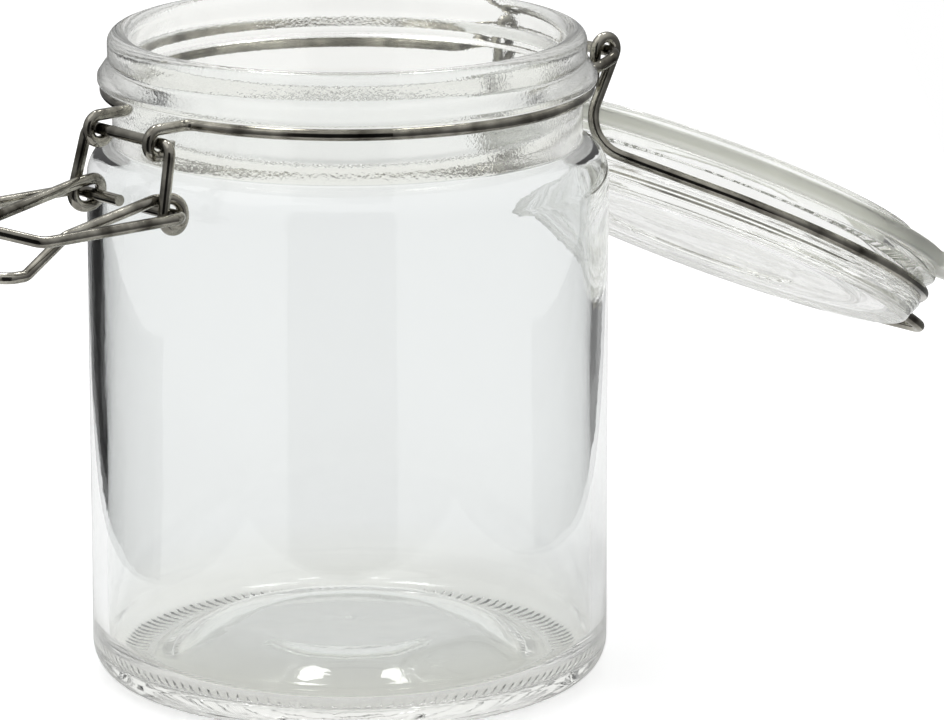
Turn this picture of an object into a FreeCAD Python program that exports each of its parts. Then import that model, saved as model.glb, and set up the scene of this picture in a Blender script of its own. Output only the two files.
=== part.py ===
"""Clip-top glass jar, standing with its lid swung open behind it and its latch hanging open in front.

Millimetres, +Z up. The origin is the centre of the base, the latch is at -Y and the hinge at +Y.
The lid, its gasket and its bail are built where they lie on the closed jar, then turned about the hinge bar.
"""
import FreeCAD, Part
import math
import os
import re

import Sketcher
from FreeCAD import Placement, Rotation, Vector

DIMENSIONS = {
    # jar, from the base up
    "body_diameter": 100.0,
    "jar_height": 126.2,
    "wall_thickness": 3.2,
    "heel_radius": 6.7,
    "contact_ring_inset": 13.0,
    "push_up_height": 4.0,
    "base_thickness": 4.6,
    "floor_corner_radius": 9.0,
    "floor_fall": 1.4,
    "finish_height": 23.9,
    "shoulder_radius": 7.0,
    "shoulder_rise": 2.7,
    "shoulder_step": 5.0,
    "collar_step": 2.75,
    "collar_thickness": 1.5,
    "collar_slope": 2.9,
    "rim_step": 0.8,
    "lip_thickness": 4.6,
    "mouth_depth": 17.5,
    "lip_rounding": 2.25,
    "soft_edge": 0.7,
    # lid, from the plug up
    "plug_gap": 1.2,
    "plug_depth": 5.6,
    "plug_wall": 5.0,
    "lid_thickness": 6.6,
    "flange_step": 1.2,
    "flange_thickness": 2.2,
    "lid_groove_height": 5.4,
    "lid_height": 11.9,
    "lid_taper": 1.8,
    "face_mark_inset": 25.3,
    "face_mark_depth": 0.5,
    # gasket
    "gasket_step": 1.7,
    "gasket_thickness": 3.2,
    "tab_width": 19.0,
    "tab_reach": 10.5,
    "tab_corner_radius": 5.0,
    "tab_turn": 45.0,
    # wires
    "wire_diameter": 2.2,
    "seat_gap": 0.1,
    "running_gap": 0.35,
    "closed_gap": 0.35,
    "wire_bend_radius": 3.0,
    "tight_bend_radius": 2.2,
    # neck wire
    "wire_depth": 11.2,
    "hinge_gap": 6.65,
    "hinge_rise": 2.0,
    "hinge_bar_length": 34.6,
    "hinge_leave_angle": 30.0,
    "eye_leave_angle": 164.0,
    "lever_eye_spacing": 18.0,
    "lever_gap": 2.7,
    # lid bail
    "bail_leg_spacing": 26.0,
    "foot_bend_radius": 8.0,
    "eye_lean": 22.0,
    "nose_width": 16.4,
    "nose_reach": 15.5,
    "nose_rise": 2.2,
    "nose_leave_angle": 164.0,
    # lever
    "leg_spacing_top": 25.2,
    "leg_spacing_foot": 28.0,
    "coil_drop": 2.7,
    "coil_hole_diameter": 3.4,
    "handle_width": 22.0,
    "handle_shank": 23.6,
    "handle_shank_drop": 4.0,
    "handle_step": 8.9,
    "handle_step_drop": 5.9,
    "handle_tip": 5.0,
    "handle_bend_radius": 6.6,
    "handle_tip_radius": 3.3,
    # clasp
    "clasp_length": 41.8,
    "clasp_tip_width": 18.4,
    "clasp_taper_length": 9.3,
    "clasp_lift": 3.0,
    "clasp_pin_length": 13.5,
    "clasp_bend_radius": 4.4,
    # pose
    "lid_open_angle": 207.4,
}

SHEET = "dimensions"
document = FreeCAD.newDocument("clip_top_jar")
sheet = document.addObject("Spreadsheet::Sheet", SHEET)
for row, (alias, number) in enumerate(DIMENSIONS.items(), start=1):
    sheet.set(f"A{row}", alias)
    sheet.set(f"B{row}", str(number))
    sheet.setAlias(f"B{row}", alias)
document.recompute()


def size(alias):
    """Value of one cell of the sheet."""
    return float(sheet.get(alias))


def measure(text):
    """Number that an expression of the sheet's aliases comes to."""
    return float(sheet.evalExpression(bound(text)))


def bound(text):
    """Expression in which every alias of the sheet is spelled out as a reference to its cell."""
    return re.sub(r"[a-z]+(?:_[a-z]+)+", lambda word: f"{SHEET}.{word.group(0)}", text)


# Places that several pieces share, as expressions and as numbers
NECK = "(body_diameter / 2 - shoulder_step)"
RIM = f"({NECK} + rim_step)"
COLLAR = f"({NECK} + collar_step)"
MOUTH = f"({RIM} - lip_thickness)"
PLUG = f"({MOUTH} - plug_gap)"
GASKET = f"({RIM} + gasket_step)"
SHOULDER = "(jar_height - finish_height)"
WIRE_LEVEL = "(jar_height - wire_depth)"
WIRE_RADIUS = size("wire_diameter") / 2
EYE_RADIUS = size("wire_diameter") + size("running_gap")
COIL_RADIUS = (size("coil_hole_diameter") + size("wire_diameter")) / 2
NECK_WIRE_RADIUS = measure(NECK) + size("seat_gap") + WIRE_RADIUS
NECK_WIRE_HEIGHT = measure(WIRE_LEVEL)
BAIL_RADIUS = measure(RIM)
COLLAR_BOTTOM = WIRE_LEVEL + " + wire_diameter / 2 + seat_gap + seat_gap"
LID_SEAT = "jar_height + closed_gap + gasket_thickness"
SEAT_HEIGHT = size("jar_height") + size("closed_gap") + size("gasket_thickness")
BAIL_HEIGHT = SEAT_HEIGHT + size("lid_groove_height")
HINGE = Vector(0, measure(COLLAR + " + hinge_gap"), measure(WIRE_LEVEL + " + hinge_rise"))
LEVER_AXIS = Vector(0, -measure("body_diameter / 2 + lever_gap"), NECK_WIRE_HEIGHT - EYE_RADIUS)
CLASP_AXIS = Vector(0, LEVER_AXIS.y, measure(SHOULDER + " - coil_drop"))
LID_OPEN = Placement(Vector(), Rotation(Vector(1, 0, 0), -size("lid_open_angle")), HINGE)

# Tolerances of the geometry tests, and how many bends make a ring and a coil eye
SHORTEST_RUN = 10 ** -6
SAME_PLACE = 10 ** -4
VOLUME_SLACK = 2 * 10 ** -3
RING_ARCS = 3
COIL_BENDS = 3


def origin_plane(body, role):
    """One of a body's own origin planes."""
    return next(plane for plane in body.Origin.OriginFeatures if plane.Role == role)


def place_point(sketch, line, across, along):
    """Holds the start of a sketch line at two expressions, measured from the sketch's origin."""
    for kind, axis, text in (("DistanceX", -2, across), ("DistanceY", -1, along)):
        if text == "0":
            sketch.addConstraint(Sketcher.Constraint("PointOnObject", line, 1, axis))
            continue
        value = sketch.evalExpression(bound(text))
        index = sketch.addConstraint(Sketcher.Constraint(kind, -1, 1, line, 1, value))
        sketch.setExpression(f"Constraints[{index}]", bound(text))


def turned_body(label, corners):
    """A body of revolution about Z, from the corners of its half section as radius and height."""
    body = document.addObject("PartDesign::Body", label)
    body.Label = label
    sketch = body.newObject("Sketcher::SketchObject", label + "_section")
    sketch.AttachmentSupport = [(origin_plane(body, "XZ_Plane"), "")]
    sketch.MapMode = "FlatFace"
    points = [Vector(*(sketch.evalExpression(bound(text)) for text in corner), 0) for corner in corners]
    for start, end in zip(points, points[1:] + points[:1]):
        sketch.addGeometry(Part.LineSegment(start, end), False)
    for line in range(len(points)):
        sketch.addConstraint(Sketcher.Constraint("Coincident", line, 2, (line + 1) % len(points), 1))
    for line, (across, along) in enumerate(corners):
        place_point(sketch, line, across, along)
    turn = body.newObject("PartDesign::Revolution", label + "_turn")
    turn.Profile = sketch
    turn.ReferenceAxis = (sketch, ["V_Axis"])
    turn.Angle = 360
    document.recompute()
    return body


def round_corner(body, radius, across, along):
    """Fillets the ring edge that lies at a given radius and height of a turned body."""
    base = body.Tip
    ring = base.evalExpression(bound(across))
    height = base.evalExpression(bound(along))
    names = []
    for number, edge in enumerate(base.Shape.Edges, start=1):
        curve = edge.Curve
        if not isinstance(curve, Part.Circle):
            continue
        if abs(curve.Radius - ring) < SAME_PLACE and abs(curve.Center.z - height) < SAME_PLACE:
            names.append(f"Edge{number}")
    fillet = body.newObject("PartDesign::Fillet", base.Name + "_round")
    fillet.Base = (base, names)
    fillet.setExpression("Radius", bound(radius))
    document.recompute()


def bent_path(corners):
    """Wire of straight runs and tangent bends; each corner is a point and its bend radius."""
    edges = []
    last = corners[0][0]
    for (before, _), (corner, radius), (after, _) in zip(corners, corners[1:], corners[2:]):
        heading = (corner - before).normalize()
        leaving = (after - corner).normalize()
        half_turn = heading.getAngle(leaving) / 2
        setback = radius * math.tan(half_turn)
        start = corner - heading * setback
        end = corner + leaving * setback
        inward = (leaving - heading).normalize()
        middle = corner + inward * radius * (1 / math.cos(half_turn) - 1)
        if start.distanceToPoint(last) > SHORTEST_RUN:
            edges.append(Part.LineSegment(last, start).toShape())
        edges.append(Part.Arc(start, middle, end).toShape())
        last = end
    if corners[-1][0].distanceToPoint(last) > SHORTEST_RUN:
        edges.append(Part.LineSegment(last, corners[-1][0]).toShape())
    return Part.Wire(edges)


def ring_point(radius, height, angle):
    """Point of a horizontal ring, by its angle in degrees from +Y towards +X."""
    turn = math.radians(angle)
    return Vector(radius * math.sin(turn), radius * math.cos(turn), height)


def ring_bends(radius, height, start, end):
    """Corners whose bends are a horizontal ring from one angle to another, in equal arcs."""
    step = (end - start) / RING_ARCS
    reach = radius / math.cos(math.radians(step / 2))
    return [(ring_point(reach, height, start + (k + 0.5) * step), radius) for k in range(RING_ARCS)]


def tangent_corner(radius, height, angle, across):
    """Where a ring's tangent at an angle comes to a given X."""
    touch = ring_point(radius, height, angle)
    turn = math.radians(angle)
    run = (across - touch.x) / math.cos(turn)
    return touch + Vector(math.cos(turn), -math.sin(turn), 0) * run


def touch_angle(radius, across, along):
    """Angle at which a tangent from a place outside a ring touches the ring."""
    return math.degrees(math.atan2(across, along) + math.acos(radius / math.hypot(across, along)))


def loop_corners(centre, radius, across, signs):
    """Corners of a square around an eye's axis, whose bends make the eye; X is given for each corner."""
    return [
        (Vector(x, centre.y + radius * side, centre.z + radius * rise), radius)
        for x, (side, rise) in zip(across, signs)
    ]


def bent_wire(label, corners, placement=Placement()):
    """Round wire that is alike on both sides of X = 0, from the path of its +X half."""
    path = document.addObject("Part::Feature", label + "_path")
    path.Shape = bent_path(corners)
    section = document.addObject("Part::Circle", label + "_section")
    section.setExpression("Radius", bound("wire_diameter / 2"))
    start, heading = corners[0][0], corners[1][0] - corners[0][0]
    section.Placement = Placement(start, Rotation(Vector(0, 0, 1), heading))
    half = document.addObject("Part::Sweep", label + "_half")
    half.Sections = [section]
    half.Spine = (path, [f"Edge{k + 1}" for k in range(len(path.Shape.Edges))])
    half.Solid = True
    half.Frenet = False
    other = document.addObject("Part::Mirroring", label + "_other_half")
    other.Source = half
    other.Normal = Vector(1, 0, 0)
    wire = document.addObject("Part::Fuse", label)
    wire.Label = label
    wire.Base = half
    wire.Tool = other
    wire.Refine = True
    wire.Placement = placement
    document.recompute()
    ideal = 2 * path.Shape.Length * math.pi * WIRE_RADIUS ** 2
    if abs(wire.Shape.Volume / ideal - 1) > VOLUME_SLACK:
        raise RuntimeError(f"{label} holds {wire.Shape.Volume:.1f} mm3 and should hold {ideal:.1f}")
    return wire


def make_jar():
    """Pressed jar: rolled lip, collar, neck, shoulder, wall, heel and pushed-up base."""
    wall = "body_diameter / 2 - wall_thickness"
    inner_shoulder = SHOULDER + " - wall_thickness"
    outer = "body_diameter / 2"
    collar_top = COLLAR_BOTTOM + " + collar_thickness"
    floor = "push_up_height + base_thickness"
    jar = turned_body("glass_jar", [
        ("0", "push_up_height"),
        ("body_diameter / 2 - contact_ring_inset", "0"),
        (outer, "0"),
        (outer, SHOULDER),
        (NECK, SHOULDER + " + shoulder_rise"),
        (NECK, COLLAR_BOTTOM),
        (COLLAR, COLLAR_BOTTOM),
        (COLLAR, collar_top),
        (RIM, collar_top + " + collar_slope"),
        (RIM, "jar_height"),
        (MOUTH, "jar_height"),
        (MOUTH, "jar_height - mouth_depth"),
        (wall, inner_shoulder),
        (wall, floor + " - floor_fall"),
        ("0", floor),
    ])
    round_corner(jar, "heel_radius", outer, "0")
    round_corner(jar, "shoulder_radius", outer, SHOULDER)
    round_corner(jar, "shoulder_radius", wall, inner_shoulder)
    round_corner(jar, "floor_corner_radius", wall, floor + " - floor_fall")
    round_corner(jar, "soft_edge", COLLAR, COLLAR_BOTTOM)
    round_corner(jar, "soft_edge", COLLAR, collar_top)
    round_corner(jar, "lip_rounding", RIM, collar_top + " + collar_slope")
    round_corner(jar, "lip_rounding", RIM, "jar_height")
    round_corner(jar, "lip_rounding", MOUTH, "jar_height")
    round_corner(jar, "shoulder_radius", MOUTH, "jar_height - mouth_depth")
    return jar


def make_lid():
    """Pressed lid: hollow plug, flange, wire groove, bead, tapered crown and a shallow mark on its face."""
    flange = RIM + " + flange_step"
    face = RIM + " - lid_taper"
    mark = RIM + " - face_mark_inset"
    groove = RIM + " - wire_diameter / 2 - seat_gap"
    groove_half = "wire_diameter / 2 + seat_gap"
    groove_height = LID_SEAT + " + lid_groove_height"
    top = LID_SEAT + " + lid_height"
    hollow = LID_SEAT + " + lid_height - lid_thickness"
    plug_end = LID_SEAT + " - plug_depth"
    flange_top = LID_SEAT + " + flange_thickness"
    bead_bottom = f"{groove_height} + {groove_half} + soft_edge"
    lid = turned_body("glass_lid", [
        ("0", hollow),
        (f"{PLUG} - plug_wall - soft_edge", hollow),
        (f"{PLUG} - plug_wall", plug_end),
        (PLUG, plug_end),
        (PLUG, LID_SEAT),
        (flange, LID_SEAT),
        (flange, flange_top),
        (groove, f"{groove_height} - {groove_half}"),
        (groove, f"{groove_height} + {groove_half}"),
        (RIM, bead_bottom),
        (RIM, f"{bead_bottom} + soft_edge"),
        (face, top),
        (mark, top),
        (f"{mark} - face_mark_depth", f"{top} - face_mark_depth"),
        ("0", f"{top} - face_mark_depth"),
    ])
    round_corner(lid, "lip_rounding", f"{PLUG} - plug_wall - soft_edge", hollow)
    round_corner(lid, "soft_edge", f"{PLUG} - plug_wall", plug_end)
    round_corner(lid, "soft_edge", PLUG, plug_end)
    round_corner(lid, "soft_edge", flange, flange_top)
    round_corner(lid, "soft_edge", flange, LID_SEAT)
    round_corner(lid, "lip_rounding", face, top)
    lid.Placement = LID_OPEN
    return lid


def make_gasket():
    """Seal ring on the lid's plug; the ring lies turned, so its pull tab is beside the latch."""
    inner = PLUG + " + seat_gap"
    under = "jar_height + closed_gap"
    gasket = turned_body("gasket", [
        (inner, under),
        (GASKET, under),
        (GASKET, LID_SEAT),
        (inner, LID_SEAT),
    ])
    round_corner(gasket, "soft_edge", GASKET, under)
    sketch = gasket.newObject("Sketcher::SketchObject", "gasket_tab_outline")
    sketch.AttachmentSupport = [(origin_plane(gasket, "XY_Plane"), "")]
    sketch.MapMode = "FlatFace"
    sketch.AttachmentOffset = Placement(Vector(), Rotation(Vector(0, 0, 1), size("tab_turn")))
    sketch.setExpression("AttachmentOffset.Base.z", bound(under + " + soft_edge"))
    half_width = "tab_width / 2"
    root = f"-({GASKET} + {PLUG}) / 2"
    tip = f"-{GASKET} - tab_reach"
    outline = [("-" + half_width, root), ("-" + half_width, tip), (half_width, tip), (half_width, root)]
    points = [Vector(*(sketch.evalExpression(bound(text)) for text in corner), 0) for corner in outline]
    for start, end in zip(points, points[1:] + points[:1]):
        sketch.addGeometry(Part.LineSegment(start, end), False)
    for line in range(len(points)):
        sketch.addConstraint(Sketcher.Constraint("Coincident", line, 2, (line + 1) % len(points), 1))
    for line, (across, along) in enumerate(outline):
        place_point(sketch, line, across, along)
    tab = gasket.newObject("PartDesign::Pad", "gasket_tab")
    tab.Profile = sketch
    tab.setExpression("Length", bound("gasket_thickness - soft_edge"))
    document.recompute()
    tip_edges = [
        f"Edge{number}" for number, edge in enumerate(tab.Shape.Edges, start=1)
        if isinstance(edge.Curve, Part.Line)
        and edge.Curve.Direction.isParallel(Vector(0, 0, 1), SAME_PLACE)
        and math.hypot(edge.CenterOfMass.x, edge.CenterOfMass.y) > measure(GASKET + " + tab_reach / 2")
    ]
    tab_ends = gasket.newObject("PartDesign::Fillet", "gasket_tab_corners")
    tab_ends.Base = (tab, tip_edges)
    tab_ends.setExpression("Radius", bound("tab_corner_radius"))
    document.recompute()
    gasket.Placement = LID_OPEN
    return gasket


def make_neck_wire():
    """Wire round the neck: hinge bar at the back, an eye for the lever at each front end."""
    height = NECK_WIRE_HEIGHT
    arm = size("hinge_bar_length") / 2
    eye = size("lever_eye_spacing") / 2
    leave_angle = size("hinge_leave_angle")
    eye_angle = size("eye_leave_angle")
    bend = size("wire_bend_radius")
    foot = tangent_corner(NECK_WIRE_RADIUS, height, leave_angle, arm)
    knee = Vector(arm, measure(COLLAR) + WIRE_RADIUS, height)
    eye_turn = tangent_corner(NECK_WIRE_RADIUS, height, eye_angle, eye)
    corners = [
        (Vector(0, HINGE.y, HINGE.z), 0),
        (Vector(arm, HINGE.y, HINGE.z), bend),
        (knee, bend),
        (foot, bend),
        *ring_bends(NECK_WIRE_RADIUS, height, leave_angle, eye_angle),
        (eye_turn, size("tight_bend_radius")),
        *loop_corners(LEVER_AXIS, EYE_RADIUS, [eye] * 3, [(-1, 1), (-1, -1), (1, -1)]),
        (Vector(eye, LEVER_AXIS.y + EYE_RADIUS, LEVER_AXIS.z), 0),
    ]
    return bent_wire("neck_wire", corners)


def make_lid_bail():
    """Wire round the lid: nose at the front, two legs at the back that end in drop-shaped eyes."""
    leg = size("bail_leg_spacing") / 2
    nose = size("nose_width") / 2
    nose_angle = size("nose_leave_angle")
    bend = size("wire_bend_radius")
    leg_reach = HINGE.y - EYE_RADIUS
    leave_angle = touch_angle(BAIL_RADIUS, leg, leg_reach)
    lean = math.radians(size("eye_lean"))
    eye_corner = HINGE + Vector(leg, EYE_RADIUS * (1 + math.sin(lean)) / math.cos(lean), -EYE_RADIUS)
    eye_end = HINGE + Vector(leg, size("seat_gap") - size("running_gap"), 0)
    eye_end.z += (eye_corner.y - eye_end.y) / math.tan(lean) - EYE_RADIUS
    nose_front = -BAIL_RADIUS - size("nose_reach")
    corners = [
        (Vector(0, nose_front, BAIL_HEIGHT + size("nose_rise")), 0),
        (Vector(nose, nose_front, BAIL_HEIGHT + size("nose_rise")), bend),
        (tangent_corner(BAIL_RADIUS, BAIL_HEIGHT, nose_angle, nose), bend),
        *ring_bends(BAIL_RADIUS, BAIL_HEIGHT, nose_angle, leave_angle),
        (Vector(leg, leg_reach, BAIL_HEIGHT), size("foot_bend_radius")),
        (Vector(leg, leg_reach, eye_corner.z), EYE_RADIUS),
        (eye_corner, EYE_RADIUS),
        (eye_end, 0),
    ]
    return bent_wire("lid_bail", corners, LID_OPEN)


def make_lever():
    """Closing lever: bar through the neck wire's eyes, two legs, two coil eyes and a stepped handle."""
    top = size("leg_spacing_top") / 2
    foot = size("leg_spacing_foot") / 2
    strand = size("handle_width") / 2
    drift = (foot - strand) / COIL_BENDS
    bend = size("tight_bend_radius")
    handle_bend = size("handle_bend_radius")
    shank = CLASP_AXIS + Vector(strand, -size("handle_shank"), COIL_RADIUS - size("handle_shank_drop"))
    step = shank + Vector(0, -size("handle_step"), -size("handle_step_drop"))
    tip = step + Vector(0, -size("handle_tip"), 0)
    leg_length = LEVER_AXIS.z - CLASP_AXIS.z
    lean = math.tan(math.asin(COIL_RADIUS / leg_length))
    coil_bottom = leg_length + COIL_RADIUS
    corners = [
        (LEVER_AXIS, 0),
        (LEVER_AXIS + Vector(top, 0, 0), bend),
        (LEVER_AXIS + Vector(foot, -lean * coil_bottom, -coil_bottom), COIL_RADIUS),
        *loop_corners(CLASP_AXIS, COIL_RADIUS, [foot - drift, strand + drift], [(1, -1), (1, 1)]),
        (CLASP_AXIS + Vector(strand, -COIL_RADIUS, COIL_RADIUS), handle_bend),
        (shank, handle_bend),
        (step, bend),
        (tip, size("handle_tip_radius")),
        (Vector(0, tip.y, tip.z), 0),
    ]
    return bent_wire("lever", corners)


def make_clasp():
    """Loop that hooks over the nose; its two ends turn inwards through the lever's coil eyes."""
    side = size("leg_spacing_foot") / 2 + size("wire_diameter") + size("running_gap")
    tip = size("clasp_tip_width") / 2
    bend = size("tight_bend_radius")
    reach = size("clasp_length")
    straight = reach - size("clasp_taper_length")
    corners = [
        (CLASP_AXIS + Vector(0, -reach, size("clasp_lift")), 0),
        (CLASP_AXIS + Vector(tip, -reach, size("clasp_lift")), bend),
        (CLASP_AXIS + Vector(side, -straight, 0), size("clasp_bend_radius")),
        (CLASP_AXIS + Vector(side, 0, 0), bend),
        (CLASP_AXIS + Vector(side - size("clasp_pin_length"), 0, 0), 0),
    ]
    return bent_wire("clasp", corners)


pieces = [
    make_jar(),
    make_lid(),
    make_gasket(),
    make_neck_wire(),
    make_lid_bail(),
    make_lever(),
    make_clasp(),
]
document.recompute()

for item in document.Objects:
    if "Invalid" in item.State or "Error" in item.State:
        raise RuntimeError(f"{item.Label} failed: {item.State}")
for piece in pieces:
    shape = piece.Shape
    if shape.isNull() or not shape.isValid() or len(shape.Solids) != 1:
        raise RuntimeError(f"{piece.Label} is not one valid solid")

os.makedirs("parts", exist_ok=True)
for piece in pieces:
    piece.Shape.exportStep(f"parts/{piece.Label}.step")
    print(f"{piece.Label}: {piece.Shape.Volume:.0f} mm3")
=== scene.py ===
"""Clip-top glass jar, standing open: clear glass, bright steel wire and a pale silicone seal.

The jar and the lid are turned as fine smooth meshes with their moulded detail, the seal is modelled with its
pull tab, and the wires are the frame's own solids. Metres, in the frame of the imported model, except where a
comment says millimetres.
"""
import math

import bmesh
import bpy
from mathutils import Matrix, Vector


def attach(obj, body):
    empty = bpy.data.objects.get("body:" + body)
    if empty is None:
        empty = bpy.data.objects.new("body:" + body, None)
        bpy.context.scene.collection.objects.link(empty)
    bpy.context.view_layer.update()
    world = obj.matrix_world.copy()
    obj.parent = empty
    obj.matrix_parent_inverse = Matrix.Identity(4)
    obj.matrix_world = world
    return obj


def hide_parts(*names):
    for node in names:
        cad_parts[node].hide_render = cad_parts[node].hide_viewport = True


MM = 0.001
SEGMENTS = 480
ARC_STEPS = 10

# Spacing of the points on the straight runs of a section, in millimetres
SHORT_RUN = 1.2
END_STEP = 0.25
JAR_STEP = 1.5
LID_STEP = 3.0

# The jar's section, from the middle of the base outwards, up the outside and down the inside:
# radius, height and rounding in millimetres
JAR_SECTION = [
    (0, 6.9, 0), (24.0, 6.6, 20.0), (35.0, 0.5, 10.0), (38.0, 0, 2.0), (50.0, 0, 6.7), (50.0, 102.3, 7.0),
    (45.0, 105.0, 0.6), (45.0, 116.3, 0.5), (47.75, 116.3, 0.7), (47.75, 117.8, 0.7), (45.8, 120.7, 2.25),
    (45.8, 126.2, 2.25), (41.2, 126.2, 2.25), (41.2, 108.7, 7.0), (46.8, 99.1, 7.0), (46.8, 3.6, 7.0),
    (36.0, 4.4, 12.0), (25.0, 10.0, 22.0), (0, 10.3, 0),
]

# The closed lid's section in the same way, from inside the plug round to the middle of the outer face;
# the seat is the height of the flange's underside
SEAT = 129.75
LID_SECTION = [
    (0, SEAT + 5.3, 0), (34.3, SEAT + 5.3, 2.25), (35.0, SEAT - 5.6, 0.7), (40.0, SEAT - 5.6, 0.7),
    (40.0, SEAT, 0.3), (47.0, SEAT, 0.7), (47.0, SEAT + 2.2, 0.7), (44.6, SEAT + 4.2, 0.4),
    (44.6, SEAT + 6.6, 0.3), (45.8, SEAT + 7.3, 0.3), (45.8, SEAT + 7.7, 0.15), (45.4, SEAT + 7.9, 0.15),
    (45.5, SEAT + 8.5, 0.15), (45.1, SEAT + 8.7, 0.15), (45.2, SEAT + 9.3, 0.15), (44.8, SEAT + 9.5, 0.15),
    (44.4, SEAT + 11.9, 1.8), (20.5, SEAT + 11.9, 0.5), (20.0, SEAT + 11.4, 0.5), (0, SEAT + 11.4, 0),
]

# Notches under the heel: lengths in millimetres; the lean is an angle of the notches' own wave, in radians
KNURL_COUNT = 128
KNURL_DEPTH = 0.7
KNURL_INNER = 40.0
KNURL_OUTER = 46.5
KNURL_TOP = 3.5
KNURL_LEAN = 1.4

# The seal and its pull tab: lengths in millimetres
GASKET_INNER = 40.1
GASKET_OUTER = 47.5
GASKET_THICKNESS = 3.2
GASKET_EDGE = 0.7
GASKET_EDGE_STEPS = 6
GASKET_RING_STEPS = 120
GASKET_TURN = math.radians(45)
TAB_HALF = 9.5
TAB_REACH = 10.5
TAB_ROUNDING = 5.0
TAB_TIP_STEPS = 6
TAB_CORNER_STEPS = 12
TAB_ROOT_ROUNDING = 1.6
TAB_ROOT_STEPS = 8

HINGE = Vector((0, 54.4, 117.0)) * MM
OPEN_ANGLE = math.radians(-207.4)

# Colour of the glass by its height in millimetres on the resting object
JAR_FOOT = (0.895, 0.90, 0.865)
JAR_WALL = (0.91, 0.922, 0.92)
JAR_NECK = (0.925, 0.93, 0.905)
JAR_STAIN = [(6, JAR_FOOT), (17, JAR_WALL), (102, JAR_WALL), (107, JAR_NECK)]
LID_ENDS = (0.935, 0.94, 0.915)
LID_MIDDLE = (0.96, 0.965, 0.95)
LID_STAIN = [(55, LID_ENDS), (75, LID_MIDDLE), (100, LID_MIDDLE), (120, LID_ENDS)]
STAIN_TOP = 130
GLASS_IOR = 1.5

# The jar's neck is duller and grained: how much, and the heights between which that comes in
NECK_ROUGHNESS = 0.05
NECK_ROUGH_HEIGHTS = (0.102, 0.106)
NECK_GRAIN = 0.35
NECK_GRAIN_HEIGHTS = (0.103, 0.108)

# Steel's colour: its own warm tone, darkened and lightened at random into patches of painted reflection
STEEL_PAINTED_DARK = (0.07, 0.064, 0.052, 1)
STEEL_PAINTED_BRIGHT = (0.54, 0.52, 0.455, 1)
STEEL_STOPS = (0.3, 0.7)
STEEL_ROUGHNESS = (0.08, 0.2)
SILICONE_DARK = (0.87, 0.88, 0.81, 1)
SILICONE_BRIGHT = (0.95, 0.955, 0.90, 1)
SILICONE_STOPS = (0.0, 1.0)
SILICONE_ROUGHNESS = 0.3
SILICONE_IOR = 1.41
SILICONE_CLEARNESS = 0.8
WHITE = (1, 1, 1, 1)

# Lens and sensor width in millimetres
CAMERA_PLACE = (0.93101, -0.76746, 0.35680)
CAMERA_TURN = (math.radians(76.228), 0, math.radians(49.371))
CAMERA_LENS = 245.545
CAMERA_SENSOR = 36.0

# The table and the strips of painted shade laid flat beside it; an edge is given by its distance from the
# jar's axis
TABLE_FRONT = 0.16
TABLE_LEFT = 0.128
TABLE_RIGHT = 0.15
TABLE_BACK = 6.0
TABLE_SHADE = 0.8
STRIP_FRONT = 0.02
STRIP_BACK = 0.46
STRIP_WIDTH = 0.22
STRIP_HEIGHT = -0.002
LEFT_STRIP_PAINTED_SHADE = 0.02
RIGHT_STRIP_PAINTED_SHADE = 0.2

# The table's glow for any ray, and what is added for the camera's rays and for rays that come through glass.
# The last holds a painted pool of light under the jar, fading to the glow beside it between two distances
# from the jar's axis
TABLE_GLOW = 0.1
TABLE_GLOW_SEEN = 0.45
TABLE_GLOW_THROUGH = 0.22
TABLE_PAINTED_LIGHT_UNDER = 0.25
PAINTED_POOL_INNER = 0.042
PAINTED_POOL_OUTER = 0.058

# Upright card of painted shade in front of the jar, seen only by reflection and through glass
CARD_ANGLE = -2
CARD_DISTANCE = 1.6
CARD_WIDTH = 1.46
CARD_BOTTOM = -1.2
CARD_TOP = 1.2
CARD_PAINTED_SHADE = 0.05

# A ray that enters and leaves one wall of glass has crossed two surfaces
ONE_WALL = 2.5

WORLD_LIGHT_LOW = 0.2
WORLD_LIGHT_HIGH = 0.82
WORLD_LIGHT_THROUGH = 1.0
WORLD_LIGHT_SEEN = 1.0
KEY_PLACE = (-0.3, -0.5, 1.3)
KEY_AIM = (0, 0, 0.06)
KEY_SIZE = (1.2, 1.0)
KEY_POWER = 2.8
LAMP_ANGLES = {"left_lamp": -155, "right_lamp": 150}
LAMP_DISTANCE = 0.42
LAMP_HEIGHT = 0.92
LAMP_AIM = (0, 0, 0.01)
LAMP_SIZE = (0.12, 0.16)
LAMP_POWER = 1.0
LIGHT_BOUNCES = 32

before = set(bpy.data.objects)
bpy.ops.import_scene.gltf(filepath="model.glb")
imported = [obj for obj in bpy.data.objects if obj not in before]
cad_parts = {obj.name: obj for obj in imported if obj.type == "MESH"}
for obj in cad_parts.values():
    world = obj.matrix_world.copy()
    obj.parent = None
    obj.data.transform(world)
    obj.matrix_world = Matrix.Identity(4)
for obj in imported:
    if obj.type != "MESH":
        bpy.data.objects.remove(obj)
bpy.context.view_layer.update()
lid_open = Matrix.Translation(HINGE) @ Matrix.Rotation(OPEN_ANGLE, 4, "X") @ Matrix.Translation(-HINGE)


def split_run(start, end, longest):
    """Points after the start of a straight run, closer together at its two ends."""
    length = (end - start).length
    if length < SHORT_RUN:
        return [end]
    near = min(END_STEP, length / 4)
    count = max(1, math.ceil((length - 2 * near) / longest))
    stops = [near + (length - 2 * near) * k / count for k in range(count + 1)] + [length]
    return [start.lerp(end, stop / length) for stop in stops]


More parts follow.
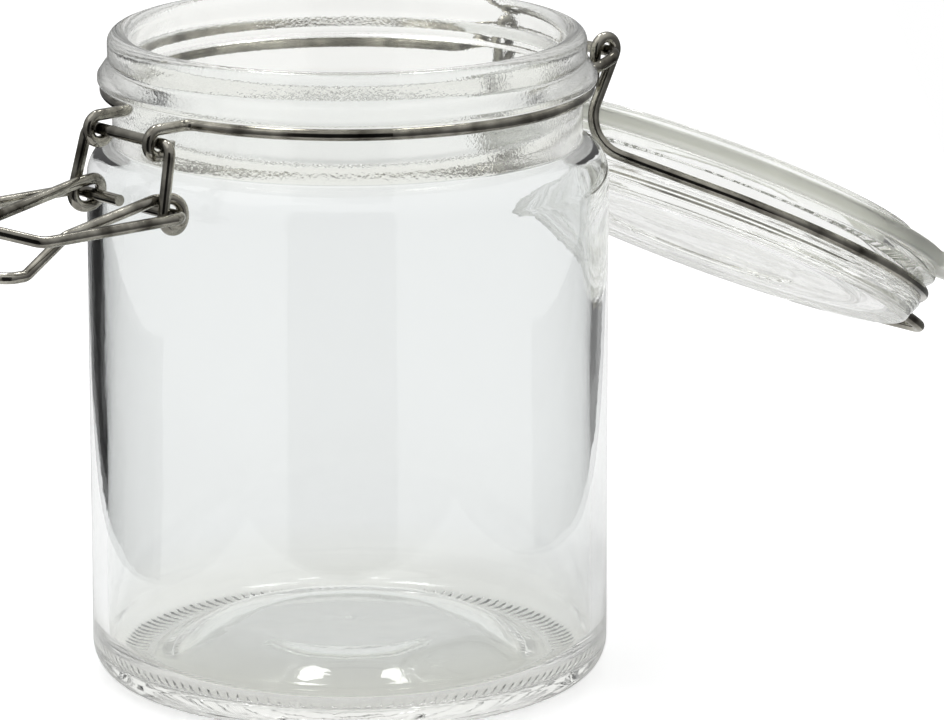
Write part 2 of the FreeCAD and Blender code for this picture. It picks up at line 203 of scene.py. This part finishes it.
def rounded(section, longest):
    """A section's corners as a fine line of points, each corner rounded by its own radius."""
    corners = [(Vector((r, z)), rounding) for r, z, rounding in section]
    points = [corners[0][0]]
    for (before, _), (corner, radius), (after, _) in zip(corners, corners[1:], corners[2:]):
        heading = (corner - before).normalized()
        leaving = (after - corner).normalized()
        half_turn = heading.angle(leaving) / 2
        setback = radius * math.tan(half_turn)
        start = corner - heading * setback
        centre = corner + (leaving - heading).normalized() * radius / math.cos(half_turn)
        points += split_run(points[-1], start, longest)
        turn = heading.angle_signed(leaving)
        arm = start - centre
        for k in range(1, ARC_STEPS + 1):
            angle = -turn * k / ARC_STEPS
            points.append(centre + Matrix.Rotation(angle, 2) @ arm)
    points += split_run(points[-1], corners[-1][0], longest)
    return points


def finished(name, shape, place):
    """A shape put in its place, as a smooth mesh whose faces look outwards."""
    bmesh.ops.recalc_face_normals(shape, faces=shape.faces)
    shape.transform(place)
    mesh = bpy.data.meshes.new(name)
    shape.to_mesh(mesh)
    shape.free()
    for face in mesh.polygons:
        face.use_smooth = True
    return mesh


def add_piece(name, mesh, body, node, material):
    """A finished mesh as a piece that stands for one node of the frame."""
    piece = bpy.data.objects.new(name, mesh)
    bpy.context.collection.objects.link(piece)
    mesh.materials.append(material)
    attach(piece, body)
    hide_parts(node)


def turned(name, points, relief=None, place=Matrix.Identity(4)):
    """Closed mesh turned about Z from a section that starts and ends on the axis."""
    shape = bmesh.new()
    poles = [shape.verts.new((0, 0, points[k].y * MM)) for k in (0, -1)]
    rings = []
    for point in points[1:-1]:
        ring = []
        for k in range(SEGMENTS):
            angle = math.tau * k / SEGMENTS
            radius, height = relief(point, angle) if relief else point
            x = radius * math.sin(angle) * MM
            y = radius * math.cos(angle) * MM
            ring.append(shape.verts.new((x, y, height * MM)))
        rings.append(ring)
    for k in range(SEGMENTS):
        following = (k + 1) % SEGMENTS
        shape.faces.new((poles[0], rings[0][k], rings[0][following]))
        for low, high in zip(rings, rings[1:]):
            shape.faces.new((low[k], high[k], high[following], low[following]))
        shape.faces.new((poles[1], rings[-1][following], rings[-1][k]))
    return finished(name, shape, place)


def knurl(point, angle):
    """Moulded notches round the underside of the heel, leaning as they run outwards."""
    radius, height = point
    if height > KNURL_TOP or not KNURL_INNER < radius < KNURL_OUTER:
        return radius, height
    across = (radius - KNURL_INNER) / (KNURL_OUTER - KNURL_INNER)
    fade = math.sin(math.pi * across) ** 0.5
    wave = 0.5 - 0.5 * math.cos(KNURL_COUNT * angle + KNURL_LEAN * across)
    return radius, height + KNURL_DEPTH * fade * wave


def gasket_outline():
    """Plan of the seal's outer edge, a ring with a pull tab at -Y, from the tab's middle all round."""
    tip = GASKET_OUTER + TAB_REACH
    half_side = [Vector((TAB_HALF * 0.5 * k / TAB_TIP_STEPS, -tip)) for k in range(TAB_TIP_STEPS)]
    corner = Vector((TAB_HALF - TAB_ROUNDING, -tip + TAB_ROUNDING))
    for k in range(TAB_CORNER_STEPS + 1):
        angle = math.pi / 2 * k / TAB_CORNER_STEPS
        half_side.append(corner + TAB_ROUNDING * Vector((math.sin(angle), -math.cos(angle))))
    root_half = TAB_HALF + TAB_ROOT_ROUNDING
    root_depth = math.sqrt((GASKET_OUTER + TAB_ROOT_ROUNDING) ** 2 - root_half ** 2)
    root = Vector((root_half, -root_depth))
    leave = math.atan2(root_depth, root_half)
    for k in range(TAB_ROOT_STEPS + 1):
        angle = math.pi + leave * k / TAB_ROOT_STEPS
        half_side.append(root + TAB_ROOT_ROUNDING * Vector((math.cos(angle), -math.sin(angle))))
    start = math.atan2(half_side[-1].x, -half_side[-1].y)
    for k in range(1, GASKET_RING_STEPS):
        angle = start + (math.pi - start) * k / GASKET_RING_STEPS
        half_side.append(GASKET_OUTER * Vector((math.sin(angle), -math.cos(angle))))
    other = [Vector((-point.x, point.y)) for point in reversed(half_side[1:])]
    return half_side + [Vector((0, GASKET_OUTER))] + other


def gasket_mesh():
    """The seal as it lies turned on the open lid: a flat ring and its tab, with rounded outer edges."""
    outline = gasket_outline()
    count = len(outline)
    normals = []
    for k in range(count):
        along = outline[(k + 1) % count] - outline[k - 1]
        normals.append(Vector((along.y, -along.x)).normalized())
    if normals[0].dot(outline[0]) < 0:
        normals = [-normal for normal in normals]
    under = SEAT - GASKET_THICKNESS
    quarter = [math.pi / 2 * k / GASKET_EDGE_STEPS for k in range(GASKET_EDGE_STEPS + 1)]
    section = [(GASKET_EDGE * (1 - math.sin(a)), under + GASKET_EDGE * (1 - math.cos(a))) for a in quarter]
    section.append((0, under + GASKET_THICKNESS / 2))
    section += [(GASKET_EDGE * (1 - math.cos(a)), SEAT - GASKET_EDGE * (1 - math.sin(a))) for a in quarter]
    shape = bmesh.new()
    rings = []
    for inset, height in section:
        rings.append([
            shape.verts.new(((p.x - n.x * inset) * MM, (p.y - n.y * inset) * MM, height * MM))
            for p, n in zip(outline, normals)
        ])
    for height in (SEAT, under):
        rings.append([
            shape.verts.new((*(p.normalized() * GASKET_INNER * MM), height * MM)) for p in outline
        ])
    rings.append(rings[0])
    for low, high in zip(rings, rings[1:]):
        for k in range(count):
            following = (k + 1) % count
            shape.faces.new((low[k], high[k], high[following], low[following]))
    return finished("gasket_ring", shape, lid_open @ Matrix.Rotation(GASKET_TURN, 4, "Z"))


def new_material(name):
    """Material with its node tree and its surface shader."""
    material = bpy.data.materials.new(name)
    material.use_nodes = True
    tree = material.node_tree
    return material, tree, tree.nodes["Principled BSDF"]


def add_noise(tree, scale, detail, stretch=(1, 1, 1)):
    """Noise in object space, in features per metre, stretched along the axes."""
    place = tree.nodes.new("ShaderNodeTexCoord")
    mapping = tree.nodes.new("ShaderNodeMapping")
    mapping.inputs["Scale"].default_value = stretch
    noise = tree.nodes.new("ShaderNodeTexNoise")
    noise.inputs["Scale"].default_value = scale
    noise.inputs["Detail"].default_value = detail
    tree.links.new(place.outputs["Object"], mapping.inputs["Vector"])
    tree.links.new(mapping.outputs["Vector"], noise.inputs["Vector"])
    return noise.outputs["Fac"]


def add_bump(tree, height, strength, distance, under=None):
    """Bump from a height socket, laid over another bump if one is given."""
    bump = tree.nodes.new("ShaderNodeBump")
    bump.inputs["Strength"].default_value = strength
    bump.inputs["Distance"].default_value = distance
    tree.links.new(height, bump.inputs["Height"])
    if under:
        tree.links.new(under.outputs["Normal"], bump.inputs["Normal"])
    return bump


def add_range(tree, value, low, high, at_low, at_high):
    """Value that runs from one number to another while a socket's value runs between two limits."""
    ramp = tree.nodes.new("ShaderNodeMapRange")
    ramp.inputs["From Min"].default_value = low
    ramp.inputs["From Max"].default_value = high
    ramp.inputs["To Min"].default_value = at_low
    ramp.inputs["To Max"].default_value = at_high
    tree.links.new(value, ramp.inputs["Value"])
    return ramp.outputs["Result"]


def add_height(tree, low, high, at_low, at_high):
    """Value that runs from one number to another between two heights of the resting object."""
    place = tree.nodes.new("ShaderNodeTexCoord")
    split = tree.nodes.new("ShaderNodeSeparateXYZ")
    tree.links.new(place.outputs["Object"], split.inputs["Vector"])
    return add_range(tree, split.outputs["Z"], low, high, at_low, at_high)


def add_mottle(tree, shader, dark, bright, stops, scale):
    """Base colour that wanders between two shades; gives back the noise that it follows."""
    shade = add_noise(tree, scale, detail=4)
    ramp = tree.nodes.new("ShaderNodeValToRGB")
    for element, stop, colour in zip(ramp.color_ramp.elements, stops, (dark, bright)):
        element.position = stop
        element.color = colour
    tree.links.new(shade, ramp.inputs["Fac"])
    tree.links.new(ramp.outputs["Color"], shader.inputs["Base Color"])
    return shade


def glass_material(name, stain, grained_neck):
    """Clear pressed glass, stained by height, with a faint ripple and, if asked, a dull grained neck."""
    material, tree, shader = new_material(name)
    level = add_height(tree, 0, STAIN_TOP * MM, 0, 1)
    ramp = tree.nodes.new("ShaderNodeValToRGB")
    elements = ramp.color_ramp.elements
    while len(elements) < len(stain):
        elements.new(0.5)
    for element, (height, shade) in zip(elements, stain):
        element.position = height / STAIN_TOP
        element.color = (*shade, 1)
    tree.links.new(level, ramp.inputs["Fac"])
    tree.links.new(ramp.outputs["Color"], shader.inputs["Base Color"])
    shader.inputs["Roughness"].default_value = 0.0
    shader.inputs["IOR"].default_value = GLASS_IOR
    shader.inputs["Transmission Weight"].default_value = 1.0
    ripple = add_noise(tree, scale=45, detail=2, stretch=(1, 1, 0.35))
    fine = add_noise(tree, scale=420, detail=3, stretch=(1, 1, 0.5))
    bump = add_bump(tree, ripple, strength=0.25, distance=0.0006)
    bump = add_bump(tree, fine, strength=0.05, distance=0.00012, under=bump)
    if grained_neck:
        dull = add_height(tree, *NECK_ROUGH_HEIGHTS, 0, NECK_ROUGHNESS)
        tree.links.new(dull, shader.inputs["Roughness"])
        grain = add_noise(tree, scale=1700, detail=2)
        bump = add_bump(tree, grain, strength=0.0, distance=0.00008, under=bump)
        depth = add_height(tree, *NECK_GRAIN_HEIGHTS, 0, NECK_GRAIN)
        tree.links.new(depth, bump.inputs["Strength"])
    tree.links.new(bump.outputs["Normal"], shader.inputs["Normal"])
    return material


def steel_material():
    """Bright drawn wire in its own warm tone, with dark and light patches of painted reflection, small pits
    and an uneven polish.
    """
    material, tree, shader = new_material("steel_wire")
    shader.inputs["Metallic"].default_value = 1.0
    # Dark and light patches of painted reflection in the steel's warm tone; the polish follows the same noise
    shade = add_mottle(tree, shader, STEEL_PAINTED_DARK, STEEL_PAINTED_BRIGHT, STEEL_STOPS, scale=160)
    polish = add_range(tree, shade, 0, 1, *STEEL_ROUGHNESS)
    tree.links.new(polish, shader.inputs["Roughness"])
    pits = add_noise(tree, scale=1800, detail=3)
    bump = add_bump(tree, pits, strength=0.15, distance=0.00008)
    tree.links.new(bump.outputs["Normal"], shader.inputs["Normal"])
    return material


def silicone_material():
    """Pale translucent silicone with a satin, faintly mottled skin."""
    material, tree, shader = new_material("silicone_seal")
    add_mottle(tree, shader, SILICONE_DARK, SILICONE_BRIGHT, SILICONE_STOPS, scale=220)
    shader.inputs["Roughness"].default_value = SILICONE_ROUGHNESS
    shader.inputs["IOR"].default_value = SILICONE_IOR
    shader.inputs["Transmission Weight"].default_value = SILICONE_CLEARNESS
    skin = add_noise(tree, scale=1500, detail=2)
    bump = add_bump(tree, skin, strength=0.2, distance=0.00006)
    tree.links.new(bump.outputs["Normal"], shader.inputs["Normal"])
    return material


def around(angle, distance, height=0.0):
    """Place round the jar, by its angle in degrees: 0 is against the camera's view, 90 to the right in it."""
    turn = CAMERA_TURN[2] + math.radians(angle)
    return Vector((math.sin(turn) * distance, -math.cos(turn) * distance, height))


def add_sheet(name, corners, shade, seen):
    """Flat matt sheet of the set; camera rays and diffuse rays meet it only if it is seen."""
    mesh = bpy.data.meshes.new(name)
    mesh.from_pydata(corners, [], [(0, 1, 2, 3)])
    sheet = bpy.data.objects.new(name, mesh)
    bpy.context.collection.objects.link(sheet)
    sheet.visible_camera = seen
    sheet.visible_diffuse = seen
    material, tree, shader = new_material(name + "_matt")
    shader.inputs["Base Color"].default_value = (shade, shade, shade, 1)
    shader.inputs["Roughness"].default_value = 1.0
    shader.inputs["Specular IOR Level"].default_value = 0.0
    mesh.materials.append(material)
    return tree, shader


def add_painted_shade_sheet(name, corners, shade):
    """Unseen sheet of painted shade that shows by reflection and through one wall of glass, but not right
    through the jar.
    """
    tree, shader = add_sheet(name, corners, shade, seen=False)
    path = tree.nodes.new("ShaderNodeLightPath")
    crossed = tree.nodes.new("ShaderNodeMath")
    crossed.operation = "GREATER_THAN"
    crossed.inputs[1].default_value = ONE_WALL
    clear = tree.nodes.new("ShaderNodeBsdfTransparent")
    mix = tree.nodes.new("ShaderNodeMixShader")
    tree.links.new(path.outputs["Transmission Depth"], crossed.inputs[0])
    tree.links.new(crossed.outputs["Value"], mix.inputs["Fac"])
    tree.links.new(shader.outputs["BSDF"], mix.inputs[1])
    tree.links.new(clear.outputs["BSDF"], mix.inputs[2])
    tree.links.new(mix.outputs["Shader"], tree.nodes["Material Output"].inputs["Surface"])


def add_table():
    """Pale, narrow table that keeps the jar's shadow and glows a little, with a painted pool of light under
    the jar.
    """
    front = around(0, TABLE_FRONT)
    back = around(180, TABLE_BACK)
    left = around(-90, TABLE_LEFT)
    right = around(90, TABLE_RIGHT)
    corners = [front + left, front + right, back + right, back + left]
    tree, shader = add_sheet("table", corners, TABLE_SHADE, seen=True)
    shader.inputs["Emission Color"].default_value = WHITE
    path = tree.nodes.new("ShaderNodeLightPath")
    place = tree.nodes.new("ShaderNodeTexCoord")
    length = tree.nodes.new("ShaderNodeVectorMath")
    length.operation = "LENGTH"
    tree.links.new(place.outputs["Object"], length.inputs[0])
    distance = length.outputs["Value"]
    # painted pool of light under the jar, seen only by rays that come through glass
    under = add_range(tree, distance, PAINTED_POOL_INNER, PAINTED_POOL_OUTER, TABLE_PAINTED_LIGHT_UNDER, TABLE_GLOW_THROUGH)
    through = tree.nodes.new("ShaderNodeMath")
    through.operation = "MULTIPLY_ADD"
    through.inputs[2].default_value = TABLE_GLOW
    seen = tree.nodes.new("ShaderNodeMath")
    seen.operation = "MULTIPLY_ADD"
    seen.inputs[1].default_value = TABLE_GLOW_SEEN
    tree.links.new(path.outputs["Is Transmission Ray"], through.inputs[0])
    tree.links.new(under, through.inputs[1])
    tree.links.new(path.outputs["Is Camera Ray"], seen.inputs[0])
    tree.links.new(through.outputs["Value"], seen.inputs[2])
    tree.links.new(seen.outputs["Value"], shader.inputs["Emission Strength"])


def add_front_shade_card():
    """Upright card of painted shade in front of the jar, further off than the camera."""
    middle = around(CARD_ANGLE, CARD_DISTANCE)
    half = around(CARD_ANGLE + 90, CARD_WIDTH / 2)
    low = Vector((0, 0, CARD_BOTTOM))
    high = Vector((0, 0, CARD_TOP))
    corners = [middle - half + low, middle + half + low, middle + half + high, middle - half + high]
    add_painted_shade_sheet("front_shade_card", corners, CARD_PAINTED_SHADE)


def add_shade_strip(name, angle, start, shade):
    """Flat strip of painted shade beside the table, just below its top, seen only by reflection and through
    glass.
    """
    near = around(angle, start, STRIP_HEIGHT)
    far = around(angle, start + STRIP_WIDTH, STRIP_HEIGHT)
    front = around(0, STRIP_FRONT)
    back = around(180, STRIP_BACK)
    add_painted_shade_sheet(name, [near + front, far + front, far + back, near + back], shade)


def add_softbox(name, place, aim, size, power):
    """Soft rectangular lamp that points at a place."""
    light = bpy.data.lights.new(name, "AREA")
    light.shape = "RECTANGLE"
    light.size, light.size_y = size
    light.energy = power
    lamp = bpy.data.objects.new(name, light)
    lamp.location = place
    lamp.rotation_euler = (Vector(aim) - Vector(place)).to_track_quat("-Z", "Y").to_euler()
    lamp.visible_camera = False
    bpy.context.collection.objects.link(lamp)


def add_switch(tree, flag, otherwise, strength):
    """Strength for the rays that a flag names, and a socket's value for the others."""
    switch = tree.nodes.new("ShaderNodeMapRange")
    switch.inputs["To Max"].default_value = strength
    tree.links.new(flag, switch.inputs["Value"])
    tree.links.new(otherwise, switch.inputs["To Min"])
    return switch.outputs["Result"]


def add_world():
    """Soft studio light from above, fainter near the horizon; the camera and the glass see it as white."""
    world = bpy.data.worlds.new("studio")
    bpy.context.scene.world = world
    world.use_nodes = True
    tree = world.node_tree
    place = tree.nodes.new("ShaderNodeTexCoord")
    split = tree.nodes.new("ShaderNodeSeparateXYZ")
    tree.links.new(place.outputs["Generated"], split.inputs["Vector"])
    sky = add_range(tree, split.outputs["Z"], 0, 1, WORLD_LIGHT_LOW, WORLD_LIGHT_HIGH)
    path = tree.nodes.new("ShaderNodeLightPath")
    through = add_switch(tree, path.outputs["Is Transmission Ray"], sky, WORLD_LIGHT_THROUGH)
    seen = add_switch(tree, path.outputs["Is Camera Ray"], through, WORLD_LIGHT_SEEN)
    background = tree.nodes["Background"]
    background.inputs["Color"].default_value = WHITE
    tree.links.new(seen, background.inputs["Strength"])


def add_camera():
    """Camera at the photograph's viewing angle."""
    lens = bpy.data.cameras.new("camera")
    lens.lens = CAMERA_LENS
    lens.sensor_width = CAMERA_SENSOR
    camera = bpy.data.objects.new("camera", lens)
    camera.location = CAMERA_PLACE
    camera.rotation_euler = CAMERA_TURN
    bpy.context.collection.objects.link(camera)
    bpy.context.scene.camera = camera


jar_glass = glass_material("jar_glass", JAR_STAIN, grained_neck=True)
lid_glass = glass_material("lid_glass", LID_STAIN, grained_neck=False)
steel = steel_material()
silicone = silicone_material()

jar = turned("jar", rounded(JAR_SECTION, JAR_STEP), relief=knurl)
add_piece("jar", jar, "jar", "glass_jar", jar_glass)
lid = turned("lid", rounded(LID_SECTION, LID_STEP), place=lid_open)
add_piece("lid", lid, "lid", "glass_lid", lid_glass)
add_piece("seal", gasket_mesh(), "lid", "gasket", silicone)

for node in ("neck_wire", "lid_bail", "lever", "clasp"):
    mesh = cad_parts[node].data
    mesh.materials.clear()
    mesh.materials.append(steel)

add_table()
add_world()
add_softbox("key", KEY_PLACE, KEY_AIM, KEY_SIZE, KEY_POWER)
for name, angle in LAMP_ANGLES.items():
    add_softbox(name, around(angle, LAMP_DISTANCE, LAMP_HEIGHT), LAMP_AIM, LAMP_SIZE, LAMP_POWER)
add_front_shade_card()
add_shade_strip("left_shade_strip", -90, TABLE_LEFT, LEFT_STRIP_PAINTED_SHADE)
add_shade_strip("right_shade_strip", 90, TABLE_RIGHT, RIGHT_STRIP_PAINTED_SHADE)
add_camera()

scene = bpy.context.scene
scene.view_settings.view_transform = "Standard"
scene.cycles.max_bounces = LIGHT_BOUNCES
scene.cycles.transmission_bounces = LIGHT_BOUNCES
scene.cycles.glossy_bounces = LIGHT_BOUNCES
